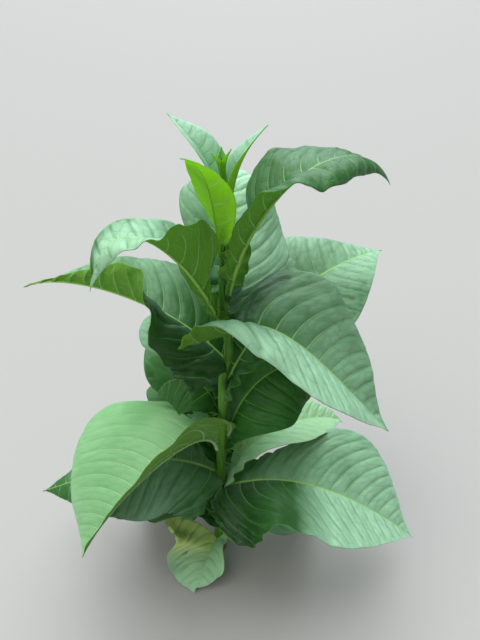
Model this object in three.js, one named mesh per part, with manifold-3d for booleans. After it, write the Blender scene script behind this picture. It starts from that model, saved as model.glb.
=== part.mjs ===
// Tobacco plant rooted in level ground. Millimetres and degrees.
// x runs to the right, y away from the viewer, z up, with the foot of the stem at the origin.
import * as THREE from "three";
import Module from "manifold-3d";

const wasm = await Module();
wasm.setup();

// Stem: where its centre line turns (height, x, y) and its radius on the way up (height, radius).
const stemTurns = [
  [0, 0, 0],
  [320, 10, 4],
  [540, 19, -3],
  [660, 22, 3],
  [765, 37, -2],
  [885, 27, 2],
  [1165, 31, 0],
];
const stemRadii = [
  [0, 19],
  [35, 15.5],
  [320, 13.5],
  [540, 11.5],
  [765, 9.5],
  [885, 8],
  [1000, 6],
  [1120, 4],
  [1165, 1.6],
];
const stemSides = 14;
const stemRingStep = 45;

const stemGap = 0.3; // between the stem and the foot of each leaf
const leafGap = 0.6; // where one leaf would press into another
const leafThicknessShare = 0.0105; // of the length of its midrib
const leafRows = 15;
const leafColumns = 8;

// What every leaf has unless its own entry says otherwise.
const usual = {
  handles: [0.4, 0.4], // how far the midrib keeps its first and last direction, as shares of its span
  drift: 0, // sideways shift of the tip
  widest: 0.42, // share of the length where the blade is widest
  wing: 0.26, // width just above the foot, as a share of the widest
  neck: 0, // share of the length before the blade starts to widen
  point: 1.25, // how fast the blade runs out to its tip
  root: 0.7, // width at the foot itself, as a share of the wing
  wide: 1, // one half's own share of the width
  ear: 26, // how far the lobe at the foot reaches back round the stem
  sweep: [0, 0], // how far the margin is drawn on towards the tip
  curl: [10, 20, 20], // how far the outer part of a half turns down
  hem: [0, 0], // how far the margin itself turns down
  wave: 6,
  waves: 2.5,
  phase: 0,
};

// Each leaf: height of its node, heading seen from above (0 right, 90 away), slope of the midrib at
// its foot and its tip, reach and height of the tip, full width, and the lift of the left and right
// halves above level from foot to tip.
const leaves = {
  leaf_lowest_front: {
    node: 60, heading: -120, rise: 30, fall: -20, reach: 135, tip: 20, width: 200, drift: 15,
    handles: [0.1, 0.3], leftLift: [45, 50, 40, 30, 15], rightLift: [40, 65, 40, 5, -25], curl: [10, 10, 5],
    point: 0.85, leftWide: 0.8, leftWing: 0.5, leftWidest: 0.6, leftEar: 30,
    leftSweep: [-30, -15, -10, -10, 0], rightWide: 1.35, rightWing: 1.55, rightWidest: 0.1, rightEar: -15,
    rightSweep: [55, 45, 45, 35, 15], phase: 1,
  },
  leaf_low_right_behind: {
    node: 110, heading: 20, rise: 40, fall: -30, reach: 300, tip: 40, width: 230, leftLift: [30, 10, 5],
    rightLift: [30, 10, 5], phase: 2,
  },
  leaf_low_left_behind: {
    node: 130, heading: 150, rise: 40, fall: -30, reach: 300, tip: 40, width: 230, leftLift: [30, 10, 5],
    rightLift: [30, 10, 5], phase: 3,
  },
  leaf_low_back: {
    node: 200, heading: 90, rise: 50, fall: -35, reach: 400, tip: 120, width: 280, leftLift: [40, 20, 10],
    rightLift: [40, 20, 10], phase: 4,
  },
  leaf_low_right_back: {
    node: 300, heading: 35, rise: 65, fall: -50, reach: 450, tip: 250, handles: [0.45, 0.3], width: 200,
    leftLift: [40, 30, 20, 35, 45], rightLift: [40, 35, 20, 10, 5], wing: 0.35, leftWide: 0.8,
    leftSweep: [65, 60, 45, 25, 5], phase: 5,
  },
  leaf_low_right_front: {
    node: 285, heading: -8, rise: 35, fall: -40, reach: 505, tip: 170, handles: [0.5, 0.2], width: 350,
    leftLift: [15, 15, 25, 25, 20], rightLift: [40, 15, 35, 25, 15, 10, 5, 0, -5],
    rightCurl: [45, 40, 20, 5, 0], leftWide: 1.1, leftWing: 0.25, leftWidest: 0.6, leftSweep: [30, 15, 10],
    rightWing: 1.15, rightEar: 5, rightSweep: [25, 40, 35, 15, 5, 0, 5, 15, 15], phase: 0,
  },
  leaf_low_left: {
    node: 345, heading: 177, rise: 35, fall: -25, reach: 495, tip: 225, width: 310,
    leftLift: [0, -40, -35, -35, -30], rightLift: [40, 20, 0], leftCurl: [60, 40, 20], leftWing: 0.9,
    leftRoot: 0.15, phase: 1,
  },
  leaf_middle_left_back: {
    node: 385, heading: 117, rise: 46, fall: -45, reach: 400, tip: 330, handles: [0.45, 0.4], width: 330,
    leftWide: 0.75, leftLift: [40, 20, 10], rightLift: [40, 20, 10], phase: 2,
  },
  leaf_middle_right_back: {
    node: 440, heading: 22, rise: 84, fall: -55, reach: 330, tip: 560, handles: [0.8, 0.5], width: 300,
    leftLift: [10, 20, 0], rightLift: [5, -35, -50], rightWide: 0.85, leftWide: 0.75, wing: 0.16, ear: 8,
    phase: 3,
  },
  leaf_middle_left_front: {
    node: 445, heading: 202, rise: 84, fall: -64, reach: 376, tip: 196, handles: [0.36, 0.45], width: 380,
    leftLift: [80, 75, 57, 49, 47, 45, 43, 41, 38], rightLift: [20, 18, 25, 30, 20], leftCurl: [0, 8, 8],
    leftWide: 0.85, leftWidest: 0.32, leftWing: 0.35, leftRoot: 1, leftEar: 40, rightWide: 1.25,
    rightSweep: [0, 30, 50, 45, 0], rightEar: 6, phase: 0,
  },
  leaf_middle_back: {
    node: 422, heading: 108, rise: 50, fall: -45, reach: 440, tip: 500, handles: [0.45, 0.4], width: 310,
    leftLift: [40, 20, 10], rightLift: [40, 20, 10], wing: 0.16, ear: 8, phase: 4,
  },
  leaf_middle_left: {
    node: 560, heading: 158, rise: 84, fall: -70, reach: 170, tip: 560, handles: [0.8, 0.6], width: 260,
    leftLift: [10, -35, -30], rightLift: [0, -10, 0], leftWide: 0.65, rightWide: 0.6, wing: 0.16, ear: 8,
    phase: 5,
  },
  leaf_upper_right_back: {
    node: 648, heading: 40, rise: 62, fall: -12, reach: 535, tip: 818, handles: [0.4, 0.3], width: 360,
    leftLift: [40, 28, 20], rightLift: [30, -3, 5], curl: [10, 30, 20], wing: 0.26, root: 1,
    rightWide: 0.87, phase: 1,
  },
  leaf_upper_left_back: {
    node: 616, heading: 114, rise: 50, fall: -50, reach: 340, tip: 640, handles: [0.5, 0.4], width: 290,
    leftLift: [30, 10, 5], rightLift: [20, 5, 5], wing: 0.16, ear: 8, phase: 2,
  },
  leaf_upper_right_front: {
    node: 800, heading: -12, rise: 53, fall: -44, reach: 348, tip: 597, handles: [0.35, 0.35], width: 290,
    leftLift: [10, 20, 35, 30, 0], rightLift: [42, 44, 25, 18, 15, 15, 15, 10, 0], leftCurl: [60, 10, -40],
    leftWide: 1.25, leftWidest: 0.3, leftEar: 5, leftSweep: [-15, -50, -50, -10, 10], rightWide: 0.9,
    rightWing: 0.92, rightRoot: 1, rightNeck: 0.05, rightEar: 35, rightCurl: [-5, 35, 30, 15, 5],
    rightHem: [0, 80, 0, 0, 0], rightSweep: [-5, -55, -25, -5, -5, 0, 5, 10, 10], phase: 0,
  },
  leaf_upper_left: {
    node: 735, heading: 164, rise: 48, fall: -33, reach: 470, tip: 837, handles: [0.44, 0.2], width: 280,
    leftLift: [15, 20, 35, 55, 70, 75, 80, 75, 70], rightLift: [25, 20, 15, 15, 15, 25, 30, 0, -60],
    leftCurl: [105, 100, 85, 50, 0, -35, -40, -40, -25], rightCurl: [20, 30, 20, 10, 0], widest: 0.3,
    leftWing: 0.9, leftRoot: 0.15, rightWing: 0.65, rightWide: 1.15, point: 2.2, rightEar: 6,
    leftSweep: [-5, 10, 10, -20, -40, -50, -45, -25, 5], rightSweep: [25, 30, 10, 0, -5],
  },
  leaf_upper_left_front: {
    node: 825, heading: 205, rise: 70, fall: -73, reach: 243, tip: 972, handles: [0.75, 0.65], width: 223,
    leftLift: [35, 60, 80, 85, 55, 30, 0, -30, -50], rightLift: [-20, -10, 25, 5, 45],
    leftCurl: [20, 25, 30], rightCurl: [-5, -5, -5], leftWide: 0.75, rightWide: 0.95, widest: 0.33,
    wing: 0.2, leftNeck: 0.15, leftSweep: [30, 40, 50, 65, 50, 15, -10, 0, 5],
    rightSweep: [20, -15, -25, -30, -30],
  },
  leaf_upper_back: {
    node: 845, heading: 87, rise: 42, fall: -11, reach: 292, tip: 1053, handles: [0.7, 0.3], width: 222,
    leftLift: [30, 5, 0], rightLift: [0, -25, 5], wing: 0.2, ear: 8, widest: 0.7, leftSweep: [-20, -5, 10],
    rightWide: 1.35, rightWidest: 0.4, rightSweep: [10, 10, 10], phase: 3,
  },
  leaf_top_right: {
    node: 880, heading: 26, rise: 77, fall: -57, reach: 370, tip: 1070, handles: [0.67, 0.34], width: 225,
    leftLift: [-30, -40, -15, 15, 15, 0, -10, -15, -15], rightLift: [40, 85, 90, 80, 50, 15, -5, -30, -45],
    leftCurl: [80, 15, -50], rightCurl: [45, 55, 50], widest: 0.58, wing: 0.48, neck: 0.11, ear: 8,
    leftSweep: [-25, 10, 25, 15, -10], rightWide: 0.8, rightSweep: [20, 30, 20, 0, -25, -45, -35, -10, 15],
  },
  leaf_young_front: {
    node: 985, heading: -135, rise: 84, fall: 15, reach: 78, tip: 1180, handles: [0.6, 0.25], width: 112,
    leftLift: [50, 15, 5], rightLift: [50, 15, 5], curl: [10, 20, 10], widest: 0.6, ear: 5, wave: 2,
  },
  leaf_young_right: {
    node: 1003, heading: 19, rise: 82, fall: 40, reach: 78, tip: 1210, handles: [0.55, 0.35], width: 62,
    leftLift: [65, 50, 30], rightLift: [65, 50, 30], widest: 0.5, ear: 5, wave: 2,
  },
  leaf_young_left: {
    node: 1075, heading: 140, rise: 80, fall: 30, reach: 120, tip: 1217, handles: [0.5, 0.3], width: 66,
    leftLift: [60, 40, 30], rightLift: [60, 45, 30], widest: 0.5, ear: 5, wave: 2,
  },
};

const colours = { stem: 0x8a9c4a, young: 0x8fb04a, grown: 0x4f8a5b, lowest: 0x8fae6a };

const radians = THREE.MathUtils.degToRad;
const ease = (share) => THREE.MathUtils.smoothstep(share, 0, 1);

// Value at a share of the way along evenly spaced values.
function along(values, share) {
  const place = Math.min(Math.max(share, 0), 1) * (values.length - 1);
  const first = Math.min(Math.floor(place), values.length - 2);
  return values[first] + (values[first + 1] - values[first]) * ease(place - first);
}

// Row of a table whose first column is a height, between two of its rows.
function atHeight(table, height, column) {
  const last = table.length - 2;
  const first = Math.min(Math.max(table.findIndex((row) => row[0] > height) - 1, 0), last);
  const place = height >= table[last + 1][0] ? last : first;
  const [low, high] = [table[place], table[place + 1]];
  const share = ease((height - low[0]) / (high[0] - low[0]));
  return low[column] + (high[column] - low[column]) * share;
}

const stemCentre = (height) =>
  new THREE.Vector3(atHeight(stemTurns, height, 1), atHeight(stemTurns, height, 2), height);
const stemRadius = (height) => atHeight(stemRadii, height, 1);

// A leaf's own value for one half, its value for both, or the usual one.
function sideValue(leaf, side, name) {
  const own = side + name[0].toUpperCase() + name.slice(1);
  return leaf[own] ?? leaf[name] ?? usual[name];
}

function midribOf(leaf) {
  const heading = radians(leaf.heading);
  const out = new THREE.Vector3(Math.cos(heading), Math.sin(heading), 0);
  const across = new THREE.Vector3(-Math.sin(heading), Math.cos(heading), 0);
  const up = new THREE.Vector3(0, 0, 1);
  const direction = (slope) =>
    out.clone().multiplyScalar(Math.cos(radians(slope))).addScaledVector(up, Math.sin(radians(slope)));
  const foot = stemCentre(leaf.node).addScaledVector(out, stemRadius(leaf.node) - 1);
  const drift = leaf.drift ?? usual.drift;
  const tip = foot.clone().addScaledVector(out, leaf.reach).addScaledVector(across, drift);
  tip.z = leaf.tip;
  const span = foot.distanceTo(tip);
  const [first, last] = leaf.handles ?? usual.handles;
  const leave = foot.clone().addScaledVector(direction(leaf.rise), first * span);
  const arrive = tip.clone().addScaledVector(direction(leaf.fall), -last * span);
  arrive.addScaledVector(across, -drift / 2);
  return { curve: new THREE.CubicBezierCurve3(foot, leave, arrive, tip), across };
}

// Half the blade's width at a share of its length.
function halfWidth(leaf, side, share) {
  const widest = sideValue(leaf, side, "widest");
  const wing = sideValue(leaf, side, "wing");
  const neck = sideValue(leaf, side, "neck");
  const root = sideValue(leaf, side, "root");
  const onward = Math.min(Math.max((share - widest) / (1 - widest), 0), 1);
  const blade =
    share < widest
      ? wing + (1 - wing) * ease((share - neck) / (widest - neck))
      : Math.cos((onward * Math.PI) / 2) ** (leaf.point ?? usual.point);
  const foot = root + (1 - root) * ease(share / 0.07);
  return (leaf.width / 2) * blade * foot * sideValue(leaf, side, "wide");
}

// Rows of points across the blade, from the left margin over the midrib to the right margin.
function bladeOf(leaf, rows, columns) {
  const { curve, across } = midribOf(leaf);
  const half = columns / 2;
  const grid = [];
  for (let i = 0; i < rows; i++) {
    const share = i / (rows - 1);
    const at = curve.getPointAt(share);
    const forward = curve.getTangentAt(share);
    const left = across.clone().addScaledVector(forward, -across.dot(forward)).normalize();
    const over = new THREE.Vector3().crossVectors(forward, left);
    const row = new Array(columns + 1);
    row[half] = at.clone();
    for (const [side, sign] of [["left", 1], ["right", -1]]) {
      const lift = radians(along(leaf[side + "Lift"], share));
      const curl = radians(along(sideValue(leaf, side, "curl"), share));
      const hem = radians(along(sideValue(leaf, side, "hem"), share));
      const width = Math.max(halfWidth(leaf, side, share), 1.5);
      const ear = sideValue(leaf, side, "ear") * Math.exp(-((share / 0.09) ** 2));
      const sweep = along(sideValue(leaf, side, "sweep"), share);
      const ripple =
        (leaf.wave ?? usual.wave) *
        Math.sin(2 * Math.PI * usual.waves * share + (leaf.phase ?? usual.phase) + sign) *
        (0.35 + 0.65 * Math.exp(-((share / 0.18) ** 2))) *
        Math.min(width / 30, 1);
      const reached = at.clone();
      for (let j = 1; j <= half; j++) {
        const middle = (j - 0.5) / half;
        const turn = lift - curl * middle ** 2 - hem * middle ** 8;
        reached.addScaledVector(left, (sign * Math.cos(turn) * width) / half);
        reached.addScaledVector(over, (Math.sin(turn) * width) / half);
        const outer = (j / half) ** 1.5;
        row[half - sign * j] = reached
          .clone()
          .addScaledVector(left, -sign * Math.sin(turn) * ripple * (j / half) ** 2)
          .addScaledVector(over, Math.cos(turn) * ripple * (j / half) ** 2)
          .addScaledVector(forward, (sweep - ear) * outer);
      }
    }
    grid.push(row);
  }
  return { grid, length: curve.getLength() };
}

// The same grid with its margin moved out.
function spread(grid, distance) {
  const step = (from, to) => to.clone().sub(from).setLength(distance);
  const rows = grid.map((row) => {
    const last = row.length - 1;
    const left = row[0].clone().add(step(row[1], row[0]));
    const right = row[last].clone().add(step(row[last - 1], row[last]));
    return [left, ...row.slice(1, last), right];
  });
  const end = rows.length - 1;
  const foot = rows[0].map((point, j) => point.clone().add(step(rows[1][j], point)));
  const tip = rows[end].map((point, j) => point.clone().add(step(rows[end - 1][j], point)));
  return [foot, ...rows.slice(1, end), tip];
}

function solidFrom(points, faces) {
  const vertProperties = new Float32Array(points.flatMap((p) => [p.x, p.y, p.z]));
  const triVerts = new Uint32Array(faces.flat());
  return new wasm.Manifold(new wasm.Mesh({ numProp: 3, vertProperties, triVerts }));
}

// Two triangles over the four corners of a face, seen from outside.
const quad = (a, b, c, d) => [[a, b, c], [a, c, d]];

// A blade of even thickness: the grid moved up and down by half of it, closed round the margin.
function thicken(grid, thickness) {
  const rows = grid.length;
  const columns = grid[0].length;
  const points = [];
  for (const shift of [0.5, -0.5]) {
    for (let i = 0; i < rows; i++) {
      for (let j = 0; j < columns; j++) {
        const on = grid[Math.min(i + 1, rows - 1)][j].clone().sub(grid[Math.max(i - 1, 0)][j]);
        const over = grid[i][Math.min(j + 1, columns - 1)].clone().sub(grid[i][Math.max(j - 1, 0)]);
        const normal = over.cross(on).normalize();
        points.push(grid[i][j].clone().addScaledVector(normal, shift * thickness));
      }
    }
  }
  const upper = (i, j) => i * columns + j;
  const lower = (i, j) => rows * columns + upper(i, j);
  const faces = [];
  for (let i = 0; i < rows - 1; i++) {
    for (let j = 0; j < columns - 1; j++) {
      faces.push(...quad(upper(i, j), upper(i, j + 1), upper(i + 1, j + 1), upper(i + 1, j)));
      faces.push(...quad(lower(i, j), lower(i + 1, j), lower(i + 1, j + 1), lower(i, j + 1)));
    }
    const last = columns - 1;
    faces.push(...quad(lower(i, 0), upper(i, 0), upper(i + 1, 0), lower(i + 1, 0)));
    faces.push(...quad(upper(i, last), lower(i, last), lower(i + 1, last), upper(i + 1, last)));
  }
  for (let j = 0; j < columns - 1; j++) {
    const last = rows - 1;
    faces.push(...quad(lower(0, j), lower(0, j + 1), upper(0, j + 1), upper(0, j)));
    faces.push(...quad(upper(last, j), upper(last, j + 1), lower(last, j + 1), lower(last, j)));
  }
  return solidFrom(points, faces);
}

// The stem from its flat cut at the ground to the bud, grown by a gap where leaves are cut clear of it.
function stemSolid(gap) {
  const top = stemTurns.at(-1)[0];
  const rings = Math.round(top / stemRingStep);
  const points = [];
  const faces = [];
  for (let i = 0; i <= rings; i++) {
    const height = (top * i) / rings;
    const centre = stemCentre(height);
    const radius = stemRadius(height) + gap;
    centre.z += gap === 0 ? 0 : i === 0 ? -gap : i === rings ? gap : 0;
    for (let k = 0; k < stemSides; k++) {
      const angle = (2 * Math.PI * k) / stemSides;
      points.push(centre.clone().add(new THREE.Vector3(Math.cos(angle) * radius, Math.sin(angle) * radius, 0)));
    }
  }
  for (let i = 0; i < rings; i++) {
    for (let k = 0; k < stemSides; k++) {
      const [a, b] = [i * stemSides + k, i * stemSides + ((k + 1) % stemSides)];
      faces.push(...quad(a, b, b + stemSides, a + stemSides));
    }
  }
  for (let k = 1; k < stemSides - 1; k++) {
    const last = rings * stemSides;
    faces.push([0, k + 1, k], [last, last + k, last + k + 1]);
  }
  return solidFrom(points, faces);
}

const bulk = (solid) => solid.volume();
const largest = (solid) => solid.decompose().sort((a, b) => bulk(b) - bulk(a))[0];

function meshOf(name, solid, colour, roughness) {
  const { vertProperties, triVerts, numProp } = solid.getMesh();
  const places = new Float32Array((vertProperties.length / numProp) * 3);
  for (let i = 0; i < places.length / 3; i++) {
    places.set(vertProperties.subarray(i * numProp, i * numProp + 3), i * 3);
  }
  const geometry = new THREE.BufferGeometry();
  geometry.setAttribute("position", new THREE.BufferAttribute(places, 3));
  geometry.setIndex(new THREE.BufferAttribute(new Uint32Array(triVerts), 1));
  const flat = geometry.toNonIndexed();
  flat.computeVertexNormals();
  const mesh = new THREE.Mesh(flat, new THREE.MeshStandardMaterial({ color: colour, roughness, metalness: 0 }));
  mesh.name = name;
  return mesh;
}

const plant = new THREE.Group();
plant.name = "tobacco_plant";
plant.add(meshOf("stem", stemSolid(0), colours.stem, 0.6));

// Each leaf is cut clear of the stem and of the leaves before it.
const standing = [stemSolid(stemGap)];
for (const [name, leaf] of Object.entries(leaves)) {
  const { grid, length } = bladeOf(leaf, leafRows, leafColumns);
  const thickness = Math.max(length * leafThicknessShare, 2.5);
  let blade = thicken(grid, thickness);
  for (const other of standing) {
    if (bulk(blade.intersect(other)) > 0) blade = blade.subtract(other);
  }
  standing.push(thicken(spread(grid, leafGap), thickness + 2 * leafGap));
  const colour = name.includes("young") ? colours.young : name.includes("lowest") ? colours.lowest : colours.grown;
  plant.add(meshOf(name, largest(blade), colour, 0.55));
}

export default plant;
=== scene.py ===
import math

import bpy
import numpy as np
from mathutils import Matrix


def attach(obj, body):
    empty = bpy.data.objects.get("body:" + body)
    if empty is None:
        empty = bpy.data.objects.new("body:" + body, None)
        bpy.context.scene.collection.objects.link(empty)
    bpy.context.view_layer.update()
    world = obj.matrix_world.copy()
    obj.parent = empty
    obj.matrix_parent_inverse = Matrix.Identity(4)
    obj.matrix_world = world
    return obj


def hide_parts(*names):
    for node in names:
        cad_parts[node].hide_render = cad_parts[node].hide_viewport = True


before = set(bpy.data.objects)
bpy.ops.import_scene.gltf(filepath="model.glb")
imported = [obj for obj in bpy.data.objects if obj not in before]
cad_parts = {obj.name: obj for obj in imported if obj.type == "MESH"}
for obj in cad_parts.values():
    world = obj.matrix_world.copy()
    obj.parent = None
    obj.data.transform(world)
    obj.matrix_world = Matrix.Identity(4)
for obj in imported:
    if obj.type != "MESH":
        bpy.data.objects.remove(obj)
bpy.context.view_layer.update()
scene = bpy.context.scene


# a socket in a node tree, so that sums on it add the nodes
class Wire:
    def __init__(self, board, socket):
        self.board = board
        self.socket = socket

    def __add__(self, other):
        return self.board.maths("ADD", self, other)

    def __radd__(self, other):
        return self.board.maths("ADD", other, self)

    def __sub__(self, other):
        return self.board.maths("SUBTRACT", self, other)

    def __rsub__(self, other):
        return self.board.maths("SUBTRACT", other, self)

    def __mul__(self, other):
        return self.board.maths("MULTIPLY", self, other)

    def __rmul__(self, other):
        return self.board.maths("MULTIPLY", other, self)

    def __abs__(self):
        return self.board.maths("ABSOLUTE", self)


class Board:
    def __init__(self, tree):
        self.tree = tree

    # one node: its type, its settings first, then values or links of its sockets
    def node(self, kind, settings=None, sockets=None):
        made = self.tree.nodes.new(kind)
        for name, value in (settings or {}).items():
            setattr(made, name, value)
        for name, value in (sockets or {}).items():
            socket = made.inputs[name]
            if isinstance(value, Wire):
                self.tree.links.new(value.socket, socket)
            else:
                socket.default_value = (*value, 1) if socket.type == "RGBA" else value
        return made

    def out(self, node, name=0):
        return Wire(self, node.outputs[name])

    def maths(self, operation, *values):
        return self.out(self.node("ShaderNodeMath", {"operation": operation}, dict(enumerate(values))))

    def fract(self, value):
        return self.maths("FRACT", value)

    def smooth(self, value, low, high):  # 0 at low, 1 at high
        settings = {"interpolation_type": "SMOOTHSTEP"}
        return self.out(self.node("ShaderNodeMapRange", settings, {0: value, 1: low, 2: high}))

    def blend(self, factor, first, second):  # colours
        mix = self.node("ShaderNodeMix", {"data_type": "RGBA"}, {0: factor, 6: first, 7: second})
        return self.out(mix, 2)

    def split(self, vector):
        parts = self.node("ShaderNodeSeparateXYZ", None, {0: vector})
        return [self.out(parts, index) for index in range(3)]

    def join(self, x, y, z):
        return self.out(self.node("ShaderNodeCombineXYZ", None, {0: x, 1: y, 2: z}))

    def noise(self, vector, scale, detail=2.0):
        sockets = {"Vector": vector, "Scale": scale, "Detail": detail}
        return self.out(self.node("ShaderNodeTexNoise", None, sockets))

    def cells(self, vector, scale, feature):
        settings = {"voronoi_dimensions": "2D", "feature": feature}
        return self.out(self.node("ShaderNodeTexVoronoi", settings, {"Vector": vector, "Scale": scale}))

    def attribute(self, name):  # in a material
        return self.out(self.node("ShaderNodeAttribute", {"attribute_name": name}), "Vector")

    def named(self, name):  # the same in Geometry Nodes
        settings = {"data_type": "FLOAT_VECTOR"}
        return self.out(self.node("GeometryNodeInputNamedAttribute", settings, {"Name": name}))


# camera, in metres, degrees below level and millimetres of lens and sensor
view = {"place": (0.061, -0.805, 1.40), "down": 35.0, "lens": 27.0, "sensor": 36.0, "near": 0.02, "far": 900}
camera = bpy.data.objects.new("camera", bpy.data.cameras.new("camera"))
camera.location = view["place"]
camera.rotation_euler = (math.radians(90 - view["down"]), 0, 0)
camera.data.lens = view["lens"]
camera.data.sensor_width = view["sensor"]
camera.data.clip_start = view["near"]
camera.data.clip_end = view["far"]
scene.collection.objects.link(camera)
scene.camera = camera
print("camera placed")


# finishes
def newFinish(name):
    material = bpy.data.materials.new(name)
    material.use_nodes = True
    material.node_tree.nodes.clear()
    return material, Board(material.node_tree)


def scaled(colour, factor):
    return tuple(part * factor for part in colour)


# each kind of leaf: the colours of its top where it is deep and where it is bright, the bright one partly
# painted light and, on grown leaves and shoots, bluish as painted sky reflection, and in its creases, as
# painted shade, of its small veins and its rib, of its underside, kept dark as painted shade, and of the
# light that comes through, with the share of that light, how much darker the top is at its foot, as painted
# shade, and lighter towards its tip, as painted light, and the down's sheen and the gloss
leafLooks = {
    "grown": {"deep": (0.022, 0.115, 0.018), "bright": (0.40, 0.70, 0.46), "crease": (0.012, 0.08, 0.012),
              "vein": (0.34, 0.66, 0.24), "rib": (0.40, 0.70, 0.16), "under": (0.10, 0.25, 0.022),
              "glow": (0.36, 0.78, 0.02), "through": 0.2, "dim": 0.4, "paintedTipLight": 0.4,
              "sheen": 0.16, "gloss": 0.3},
    # the inner leaves: darker and duller, partly their own deeper green and partly painted shade for where
    # they lie inside the plant
    "inner": {"deep": (0.018, 0.10, 0.012), "bright": (0.16, 0.42, 0.15), "crease": (0.012, 0.08, 0.012),
              "vein": (0.20, 0.46, 0.12), "rib": (0.30, 0.58, 0.10), "under": (0.10, 0.25, 0.022),
              "glow": (0.36, 0.78, 0.02), "through": 0.16, "dim": 0.2, "paintedTipLight": 0.1,
              "sheen": 0.06, "gloss": 0.2},
    "pale": {"deep": (0.12, 0.36, 0.11), "bright": (0.44, 0.76, 0.42), "crease": (0.17, 0.42, 0.15),
             "vein": (0.60, 0.86, 0.50), "rib": (0.52, 0.76, 0.34), "under": (0.13, 0.29, 0.045),
             "glow": (0.3, 0.6, 0.025), "through": 0.22, "dim": 0.1, "paintedTipLight": 0.5,
             "sheen": 0.24, "gloss": 0.32},
    "young": {"deep": (0.07, 0.22, 0.07), "bright": (0.20, 0.44, 0.22), "crease": (0.10, 0.26, 0.10),
              "vein": (0.4, 0.6, 0.3), "rib": (0.14, 0.30, 0.05), "under": (0.22, 0.46, 0.02),
              "glow": (0.6, 1.0, 0.0), "through": 0.46, "dim": 0.2, "paintedTipLight": 0.2,
              "sheen": 0.12, "gloss": 0.2},
    "shoot": {"deep": (0.10, 0.30, 0.12), "bright": (0.44, 0.70, 0.56), "crease": (0.12, 0.32, 0.16),
              "vein": (0.4, 0.6, 0.4), "rib": (0.30, 0.52, 0.22), "under": (0.22, 0.46, 0.02),
              "glow": (0.6, 1.0, 0.0), "through": 0.26, "dim": 0.3, "paintedTipLight": 0.6,
              "sheen": 0.2, "gloss": 0.25},
    # the lowest leaf: yellowing at the bright end, and lighter all over as painted light where it lies in the
    # other leaves' shade
    "lowest": {"deep": (0.33, 0.60, 0.36), "bright": (0.80, 0.98, 0.34), "crease": (0.20, 0.42, 0.18),
               "vein": (0.52, 0.68, 0.36), "rib": (0.52, 0.68, 0.32), "under": (0.40, 0.56, 0.14),
               "glow": (0.5, 0.66, 0.06), "through": 0.24, "dim": 0.0, "paintedTipLight": 0.0,
               "sheen": 0.16, "gloss": 0.3},
}

# what all leaves share: noises by their scale, the veins' widths in metres, and how strongly each part shows;
# shade is how dark the painted shade past deep goes, and the top's dome, groove and net weigh the painted
# shade in the creases
leafPattern = {
    "clouds": 9.0, "grain": 160.0, "meshScale": 3.7, "lateralHalf": 0.0012, "lateralTaper": 0.0008,
    "grooveHalf": 0.001, "grooveEdge": 0.0045, "mottle": 0.3, "shade": 0.4, "lighter": 1.25, "rib": 0.9,
    "bump": 0.7, "bumpDepth": 0.002, "sheenRoughness": 0.35, "sheenTint": (0.6, 0.94, 1.0),
    "top": {"dome": 0.12, "grooveShade": 0.28, "net": 0.12, "mesh": 0.07, "lateral": 0.6, "roughness": 0.36},
    "underside": {"net": 0.3, "mesh": 0.13, "lateral": 0.8, "roughness": 0.62, "gloss": 0.15},
    "sunk": {"dome": 0.35, "lateral": 0.8, "net": 0.25, "mesh": 0.1, "level": 0.55, "rib": 0.3},
    "raised": {"dome": 0.35, "net": 0.6, "mesh": 0.12},
}


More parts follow.
